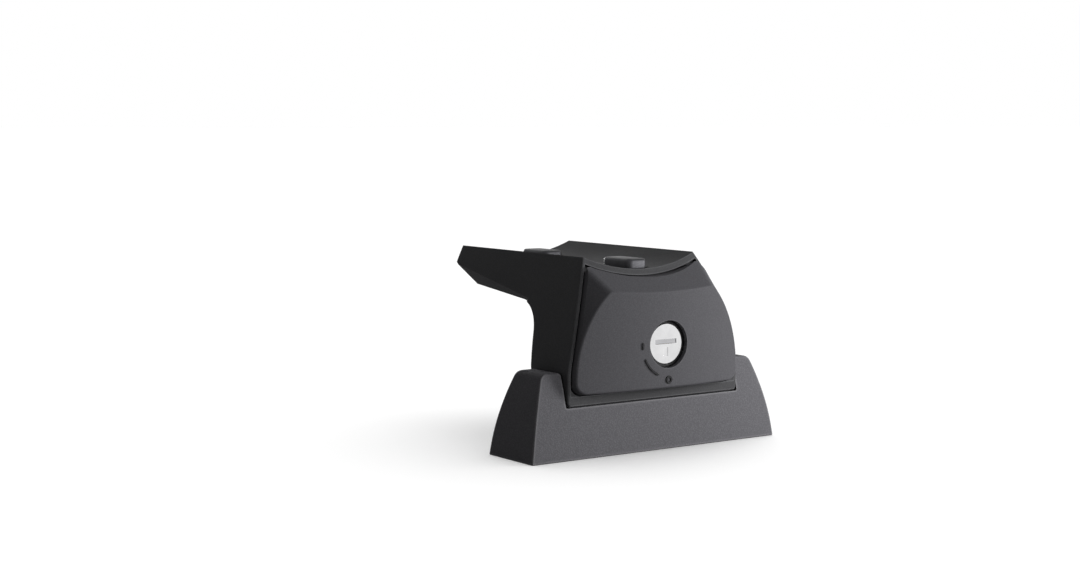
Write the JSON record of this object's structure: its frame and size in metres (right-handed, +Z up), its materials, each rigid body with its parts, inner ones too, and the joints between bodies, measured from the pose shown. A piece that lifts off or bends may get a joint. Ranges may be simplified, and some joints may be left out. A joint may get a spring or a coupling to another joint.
{
  "type": "roof bar foot",
  "caption": "Fixed-point roof bar foot: rubber saddle base, hollow leg with an inboard arm and dished seat, lift-off front cover with a key lock.",
  "frame": {"origin": "centre of the base's underside, on the roof", "axes": "+X along the vehicle, +Y inboard along the arm, +Z up"},
  "size_m": [0.123, 0.1048, 0.0778],
  "materials": {
    "base_rubber": "fine moulded grain",
    "leg_plastic": "satin",
    "cover_plastic": "fine satin grain",
    "lock_black": "black",
    "lock_bright": "satin chrome",
    "wafer_brass": "plain",
    "zinc_steel": "zinc plated",
    "dark_steel": "blackened"
  },
  "bodies": {
    "foot": {"base_pad": "base_rubber", "base_plate": "zinc_steel", "base_nuts": "zinc_steel", "leg_body": "leg_plastic", "leg_sleeves": "zinc_steel", "floor_plate": "zinc_steel", "leg_washers": "zinc_steel", "leg_spring_washers": "dark_steel", "leg_bolts": "dark_steel", "seat_bolts": "dark_steel", "seat_washers": "dark_steel", "seat_nuts": "dark_steel"},
    "cover": {"front_cover": "cover_plastic", "lock_housing": "lock_black", "lock_nut": "zinc_steel"},
    "lock": {"lock_plug": "lock_bright", "lock_wafers": "wafer_brass", "lock_shutter": "lock_bright", "lock_tongue": "zinc_steel", "tongue_washer": "zinc_steel", "tongue_screw": "zinc_steel"}
  },
  "joints": [
    {"name": "cover_pull", "type": "slide", "parent": "foot", "child": "cover", "axis": [0, -1, 0], "range_m": [0, 0.045]},
    {"name": "lock_turn", "type": "hinge", "parent": "cover", "child": "lock", "pos_m": [0.0019, -0.0171, 0.0429], "axis": [0, 1, 0], "range_deg": [0, 90]}
  ]
}
